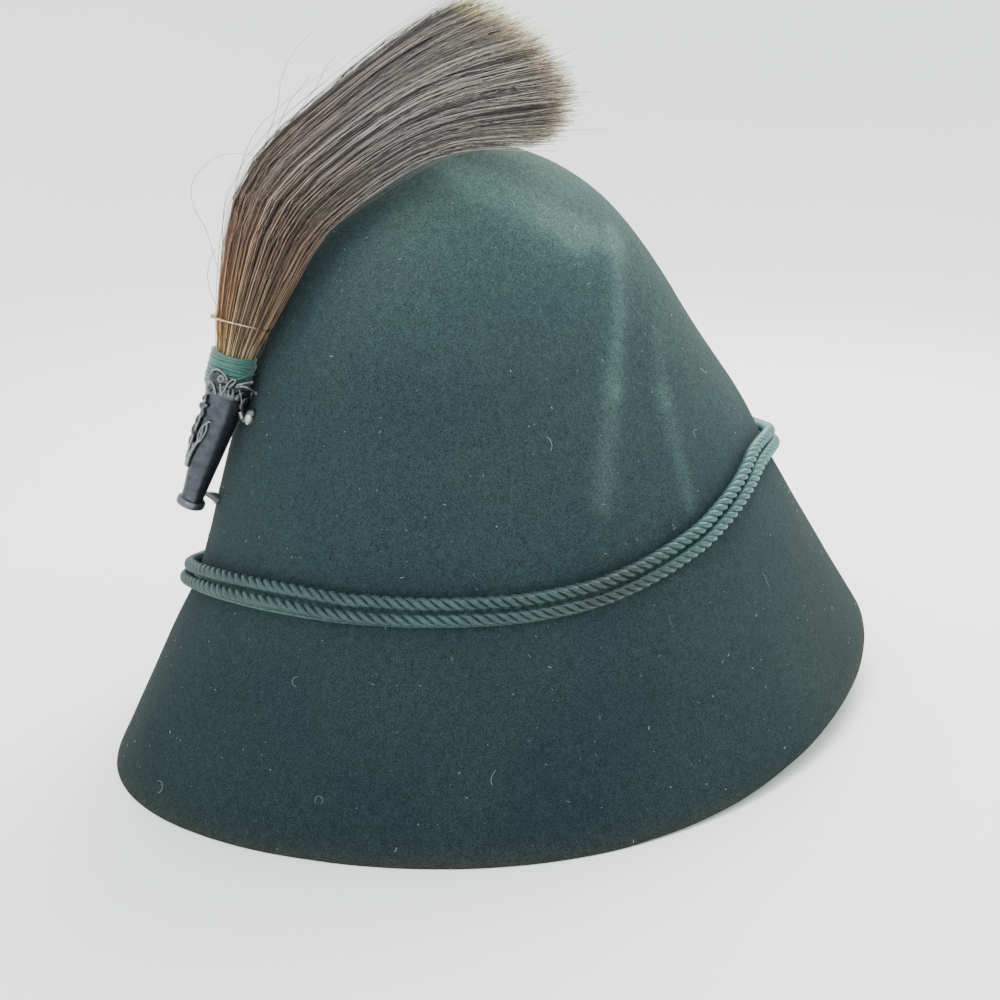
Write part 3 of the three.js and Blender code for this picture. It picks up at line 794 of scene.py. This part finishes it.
def smooth_path(points, steps):
    """Places at equal steps along a smooth line through the points."""
    curve = np.array(points, dtype=float)
    slope = np.gradient(curve, axis=0)
    at = np.linspace(0, len(curve) - 1, steps)
    low = np.minimum(at.astype(int), len(curve) - 2)
    return smooth_rows(curve, slope, low, (at - low)[:, None])


def stray_hairs(name):
    """Single hairs that stand away from the bundle."""
    pull = np.random.default_rng(21)
    paths = []
    for points in STRAYS:
        flat = smooth_path(points, STRAY_STEPS) * PLUME_LENGTH
        drift = np.linspace(0, pull.uniform(-4, 4) * MM, STRAY_STEPS)
        paths.append(np.stack([flat[:, 0], drift, flat[:, 1]], axis=1))
    paths = np.array(paths)
    along = np.linspace(0, 1, STRAY_STEPS)[None, :] + np.zeros((len(paths), 1))
    thick = 0.13 * MM * (1 - 0.6 * along ** 2)
    facts = np.stack([0.35 + 0.3 * along, 0.5 + 0 * along, 0.6 + 0 * along], axis=2)
    return thin_tubes(name, in_plume(paths), thick, facts)


def make_hair():
    """The bundle in three layers from the middle out, and the stray hairs."""
    finish = hair_finish()
    inner = hair_strands("hair_inner", 2250, seed=3, depth=(0.0, 0.85))
    middle = hair_strands("hair_middle", 2250, seed=8, depth=(0.7, 0.96))
    outer = hair_strands("hair_outer", 2250, seed=9, depth=(0.9, 1.03))
    for piece in (inner, middle, outer, stray_hairs("hair_strays")):
        dressed(piece, finish, "hair", "hair_plume")


# What holds the hair.

BINDING_TILT = math.radians(17)
BINDING_RADIUS = 7.9 * MM
BINDING_LENGTH = 12.6 * MM
BINDING_TURNS = 12
BINDING_SHIFT = Matrix.Translation((0.5 * MM, 0, 0))
THREAD_RADIUS = 0.52 * MM
TURN_STEPS = 36
# Loose threads that cross the turns: where each one starts round the neck in radians, its two heights and its
# radius in mm.
CROSSING_THREADS = [(-2.2, 2.0, 9.5, 0.35), (-1.5, 10.5, 4.5, 0.3)]


def make_binding():
    """Thread wound unevenly round the neck of the hair, over a core that fills it."""
    pull = np.random.default_rng(4)
    steps = BINDING_TURNS * TURN_STEPS
    at = np.linspace(0, BINDING_TURNS, steps)
    heights = pull.normal(0, 0.3, BINDING_TURNS * 2)
    sway = np.interp(at, np.arange(BINDING_TURNS * 2) / 2, heights) * MM
    lift = THREAD_RADIUS + at / BINDING_TURNS * (BINDING_LENGTH - 2 * THREAD_RADIUS) + sway
    depths = pull.uniform(-0.25, 0.1, BINDING_TURNS * 3)
    reach = BINDING_RADIUS - THREAD_RADIUS + np.interp(at, np.arange(BINDING_TURNS * 3) / 3, depths) * MM
    windings = [np.stack([reach * np.cos(2 * np.pi * at), reach * np.sin(2 * np.pi * at), lift], axis=1)]
    radii = [np.full(steps, THREAD_RADIUS)]
    over = BINDING_RADIUS + 0.1 * MM
    for start, low, high, radius in CROSSING_THREADS:
        angle = np.linspace(start, start + 2.4, steps)
        height = np.linspace(low, high, steps) * MM
        windings.append(np.stack([over * np.cos(angle), over * np.sin(angle), height], axis=1))
        radii.append(np.full(steps, radius * MM))
    threads = thin_tubes("threads", np.array(windings), np.array(radii), sides=8)
    core = turned("core", [(0, 0.4), (7.2, 0.4), (7.2, 12.2), (0, 12.2)], sides=32)
    binding = joined("binding", [core, threads])
    tilt = Matrix.Rotation(BINDING_TILT, 4, "Y")
    in_place(binding, PLUME @ BINDING_SHIFT @ tilt)
    dressed(binding, thread_finish(), "thread", "thread_binding")


# The keeper's wire and the reach of its turns, in mm.
KEEPER_TURNS = 1.45
KEEPER_ACROSS = 9.9
KEEPER_THROUGH = 8.3
KEEPER_WIRE = 0.34
KEEPER_STEPS = 60


def make_keeper():
    """A turn and a half of copper wire round the hair above the binding."""
    places = []
    for i in range(KEEPER_STEPS + 1):
        share = i / KEEPER_STEPS
        angle = math.radians(60) + 2 * math.pi * KEEPER_TURNS * share
        lift = 0.7 * KEEPER_TURNS * (share - 0.5)
        places.append((KEEPER_ACROSS * math.cos(angle), KEEPER_THROUGH * math.sin(angle), lift))
    lowest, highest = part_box("keeper_ring")
    ring = PLUME.copy()
    ring.translation = (lowest + highest) / 2 + Vector((0, 0, 1.2 * MM))
    ring = ring @ Matrix.Rotation(math.radians(15), 4, "Y") @ Matrix.Rotation(math.radians(-11), 4, "X")
    path = np.array(places)[None] * MM
    keeper = thin_tubes("keeper", path, np.full((1, len(places)), KEEPER_WIRE * MM), sides=8)
    in_place(keeper, ring)
    dressed(keeper, wire_finish(), "copper_wire", "keeper_ring")


# The cast socket, in its own frame: turn round its axis in degrees, with 0 ahead and -90 to the right of the
# plume's plane, up from the mouth and out from the axis in mm.
SOCKET_SHIFT = Matrix.Translation((1.5 * MM, 0, 0))
SOCKET_TILT = math.radians(20.7)
SOCKET = PLUME @ SOCKET_SHIFT @ Matrix.Rotation(SOCKET_TILT, 4, "Y")
# The cup and its foot cap from below, as radius and up.
CONE = [
    (0, -45.2), (4.3, -45.2), (4.8, -44.9), (5.0, -44.2), (5.0, -43.2), (4.8, -42.6), (4.3, -42.3),
    (3.8, -42.2), (3.95, -40), (4.7, -32), (5.5, -24), (6.2, -16), (6.7, -9), (6.95, -5), (7.2, -3.4),
    (7.5, -2.6), (7.6, -2.0), (7.6, -0.6), (7.4, 0), (6.2, 0), (5.2, -13), (0, -14),
]
# Rounded shapes: turn, up and out, the full long, wide and thick sizes in mm, and the roll in degrees that
# turns the long side from round to up.
BEADS = [
    ["scroll", -120, 3.4, 8.3, 6.6, 4.6, 2.6, 20],
    ["beak", -97, 4.2, 8.6, 3.6, 2.4, 2.0, -30],
    ["petal", -128, -0.6, 8.2, 3.6, 2.2, 1.8, 60],
    ["petal", -113, -0.4, 8.7, 3.0, 1.3, 1.6, 125],
    ["petal", -97, 1.0, 8.5, 3.8, 1.5, 1.6, 70],
    ["petal", -90, 1.4, 8.6, 3.4, 1.3, 1.6, 110],
    ["bow", -80, 3.6, 8.5, 3.4, 1.5, 1.6, 50],
    ["bow", -73, 1.0, 8.5, 2.8, 1.3, 1.5, 100],
    ["bow", -66, 3.2, 8.4, 2.4, 1.6, 1.8, 10],
    ["ball", -40, 5.9, 9.6, 1.5, 1.5, 1.5, 0],
    ["ball", -26, 2.4, 10.8, 1.5, 1.5, 1.5, 0],
    ["oak leaf", -48, 0.2, 8.3, 5.2, 3.2, 1.6, 35],
    ["oak leaf", -35, -2.4, 8.8, 5.0, 4.2, 1.8, 75],
    ["oak leaf", -28, -4.2, 8.4, 3.4, 2.6, 1.6, 100],
    ["oak leaf", -152, 0.6, 7.3, 6.4, 3.4, 2.2, 25],
    ["oak leaf", 178, 0.0, 7.4, 5.4, 3.2, 2.0, -15],
    ["oak leaf", 132, 0.2, 8.3, 5.6, 3.4, 2.2, 20],
    ["oak leaf", 84, -0.2, 8.3, 5.6, 3.4, 2.2, -15],
    ["oak leaf", 36, 0.0, 8.3, 5.4, 3.2, 2.0, 15],
    ["oak leaf", -2, 0.2, 8.2, 5.0, 3.2, 1.8, -20],
    ["bud", -142, -5.2, 7.6, 2.6, 1.8, 1.8, 60],
    ["bud", -132, -7.4, 7.5, 2.4, 1.8, 1.8, 20],
    ["bud", -144, -8.2, 7.6, 2.6, 2.0, 2.0, 110],
    ["bud", -134, -10.4, 7.3, 3.0, 1.8, 1.8, 100],
    ["leaf", -146, -13.4, 7.2, 4.6, 2.2, 1.8, 80],
    ["leaf", -154, -17.4, 7.0, 4.8, 2.6, 1.8, 95],
    ["leaf", -164, -21.6, 6.5, 5.0, 2.6, 1.8, 85],
    ["leaf", -172, -26.6, 6.0, 6.2, 1.8, 1.4, 95],
]
ACORN_CUP = ["acorn_cup", -34, -3.9, 12.9, 3.8, 3.2, 3.6, 0]
ACORN = ["acorn", -36, -6.0, 12.8, 3.2, 4.8, 3.2, 12]
PRONG = [(20, -39.6, 3.4), (24, -40.0, 6.4), (26, -41.0, 9.2)]
# Cast wires: the places of each one, then its radius in mm at both ends, to be made fuller by one share.
WIRE_FULLNESS = 1.15
WIRE_STEPS = 24
WIRES = [
    [[(-140, 2.4, 8.6), (-132, 5.2, 8.9), (-118, 6.6, 9.1), (-102, 6.0, 9.3), (-92, 4.6, 9.3)], 0.45, 0.35],
    [[(-110, 4.4, 9.7), (-105, 5.4, 9.8), (-99, 4.6, 9.8), (-102, 3.4, 9.8), (-109, 3.6, 9.7),
      (-110, 4.4, 9.7)], 0.28, 0.28],
    [[(-136, 1.0, 8.9), (-124, 1.6, 9.2), (-113, 0.4, 9.4), (-106, -1.6, 9.2)], 0.4, 0.3],
    [[(-104, 2.6, 9.2), (-98, 0.2, 9.2), (-95, -1.0, 9.0), (-92, 0.6, 9.2), (-89, 3.4, 9.2)], 0.35, 0.3],
    [[(-90, 3.4, 9.2), (-82, 5.4, 9.4), (-76, 5.2, 9.4), (-79, 3.6, 9.4), (-85, 2.4, 9.3)], 0.3, 0.28],
    [[(-84, 1.4, 9.1), (-80, -0.2, 9.1), (-74, -0.4, 9.1), (-72, 1.2, 9.1)], 0.3, 0.3],
    [[(-70, 3.6, 8.6), (-56, 4.9, 9.0), (-40, 5.9, 9.6)], 0.4, 0.35],
    [[(-68, 3.0, 8.6), (-56, 3.9, 9.2), (-42, 3.6, 10.0), (-26, 2.4, 10.8)], 0.4, 0.35],
    [[(-60, 2.4, 8.4), (-52, 0.0, 8.9), (-44, -2.6, 9.2)], 0.25, 0.2],
    [[(-34, -5.6, 8.0), (-32, -7.6, 9.6), (-34, -7.4, 11.0), (-35, -6.6, 12.2)], 0.75, 0.7],
    [[(-112, -12.6, 7.3), (-106, -14.8, 7.2), (-109, -17.6, 7.0), (-118, -20.2, 6.8), (-127, -18.8, 6.8),
      (-125, -16.2, 7.0), (-117, -14.0, 7.2), (-108, -12.2, 7.3), (-101, -11.8, 7.3)], 0.3, 0.3],
    [[(-125, -16.2, 7.1), (-117, -17.2, 7.2), (-110, -18.0, 7.0)], 0.22, 0.22],
    [[(-119, -13.8, 7.1), (-116, -16.8, 7.2), (-118, -20.0, 6.9)], 0.2, 0.2],
    [[(-122, -20.2, 6.7), (-130, -22.5, 6.5), (-142, -26.0, 6.1), (-158, -31.0, 5.4)], 0.5, 0.7],
    [[(-138, -5.0, 7.7), (-139, -12.0, 7.3), (-148, -18.0, 6.9), (-160, -24.0, 6.3), (-174, -31.0, 5.6)],
     0.4, 0.55],
]


def socket_place(turn, up, out):
    """A place in the socket's own frame."""
    angle = math.radians(turn)
    return Vector((out * math.cos(angle), out * math.sin(angle), up)) * MM


def bead(row):
    """A rounded shape that lies on the socket."""
    name, turn, up, out, long, wide, thick, roll = row
    bpy.ops.mesh.primitive_uv_sphere_add(segments=20, ring_count=12, radius=0.5)
    shape = named(name)
    shape.scale = Vector((thick, long, wide)) * MM
    bpy.ops.object.transform_apply(scale=True)
    turn_to = Matrix.Rotation(math.radians(turn), 4, "Z") @ Matrix.Rotation(math.radians(roll), 4, "X")
    in_place(shape, Matrix.Translation(socket_place(turn, up, out)) @ turn_to)
    bpy.ops.object.shade_smooth()
    return shape


def make_socket():
    """The cast cup with its wreath, sprig and prong in dark metal, and a pale acorn."""
    cone = turned("socket_cone", CONE, sides=56)
    wires = []
    for index, (points, first, last) in enumerate(WIRES):
        path = smooth_path([socket_place(*point) for point in points], WIRE_STEPS)
        radii = np.linspace(WIRE_FULLNESS * first, WIRE_FULLNESS * last, WIRE_STEPS) * MM
        wires.append(thin_tubes(f"wire_{index}", path[None], radii[None], sides=8))
    path = smooth_path([socket_place(*point) for point in PRONG], 10)
    prong = thin_tubes("prong", path[None], np.linspace(0.6, 2.1, 10)[None] * MM, sides=8)
    cap = bead(ACORN_CUP)
    leaves = joined("socket_leaves", [cap, prong, *[bead(row) for row in BEADS]])
    wires = joined("socket_wires", wires)
    acorn = bead(ACORN)
    tones = [
        (cone, "cast_pewter", (0.032, 0.034, 0.043), (0.062, 0.065, 0.079), (0.25, 0.25, 0.26)),
        (leaves, "dark_pewter", (0.012, 0.012, 0.016), (0.05, 0.05, 0.06), (0.22, 0.22, 0.22)),
        (wires, "worn_pewter", (0.025, 0.025, 0.03), (0.2, 0.2, 0.21), (0.22, 0.22, 0.225)),
        (acorn, "pale_pewter", (0.18, 0.18, 0.15), (0.45, 0.45, 0.39), (0.55, 0.55, 0.5)),
    ]
    for piece, name, dark, pale, edge in tones:
        in_place(piece, SOCKET)
        dressed(piece, pewter_finish(name, dark, pale, edge), "pewter", "plume_socket")


# Lint on the felt.

LINT_COUNT = 900
CURLY_COUNT = 34
LINT_STEPS = 7


def make_lint(felt):
    """Pale specks and a few short curled fibres that lie on the outside of the felt."""
    pull = random.Random(12)
    outer = []
    for face in felt.data.polygons:
        middle = face.center
        outward = Vector((middle.x - HEAD_AXIS.x, middle.y, 0.4 * (middle.z - 30 * MM)))
        if face.normal.dot(outward) > 0:
            outer.append(face)
    chosen = pull.choices(outer, weights=[face.area for face in outer], k=LINT_COUNT)
    paths, radii = [], []
    for index, face in enumerate(chosen):
        curly = index < CURLY_COUNT
        length = pull.uniform(3.0, 7.5) * MM if curly else (0.15 + 1.1 * pull.random() ** 3) * MM
        radius = (0.06 if curly else pull.uniform(0.04, 0.12)) * MM
        start = face.center + face.normal * 0.15 * MM
        across = face.normal.orthogonal().normalized()
        across.rotate(Matrix.Rotation(pull.uniform(0, 2 * math.pi), 3, face.normal))
        bend = pull.uniform(-1, 1) * (5 if curly else 1.2)
        path = [start]
        for _ in range(LINT_STEPS):
            path.append(path[-1] + across * length / LINT_STEPS)
            across.rotate(Matrix.Rotation(bend / LINT_STEPS, 3, face.normal))
            bend += pull.uniform(-1.5, 1.5) * (1 if curly else 0.2)
        paths.append(path)
        radii.append([radius] * (LINT_STEPS + 1))
    lint = thin_tubes("lint", np.array(paths, dtype=float), np.array(radii))
    dressed(lint, lint_finish(), "felt")


add_camera()
add_sweep()
add_lights()
felt = make_felt()
make_cords()
make_hair()
make_binding()
make_keeper()
make_socket()
make_lint(felt)
